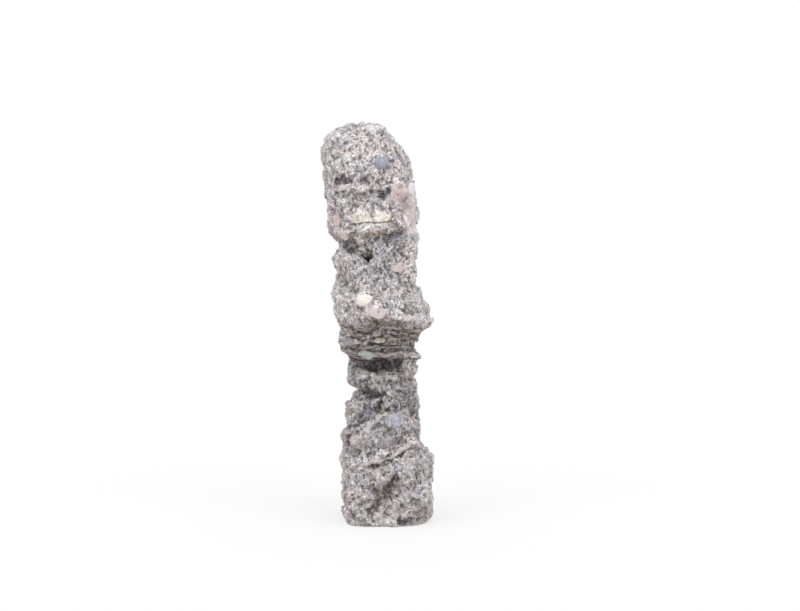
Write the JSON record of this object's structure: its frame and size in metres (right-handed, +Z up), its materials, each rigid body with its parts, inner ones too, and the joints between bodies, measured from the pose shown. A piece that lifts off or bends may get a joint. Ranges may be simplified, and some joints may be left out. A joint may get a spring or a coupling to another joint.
{
  "type": "aquascaping rock",
  "caption": "Upright column of natural breccia with a head, a narrow neck, an overhanging belly, a waist and a broad flat-based foot.",
  "frame": {"origin": "middle of the bounding box's underside, on the plane the stone stands on", "axes": "+Z up along the column, +X to the right and -Y towards the viewer of the face with the overhanging belly"},
  "size_m": [0.0856, 0.0968, 0.3019],
  "materials": {
    "stone": "rough grey-lavender breccia with cream, white, pink, blue-grey and green fragments and dark pits"
  },
  "bodies": {
    "root": {"stone": "stone"}
  },
  "joints": []
}
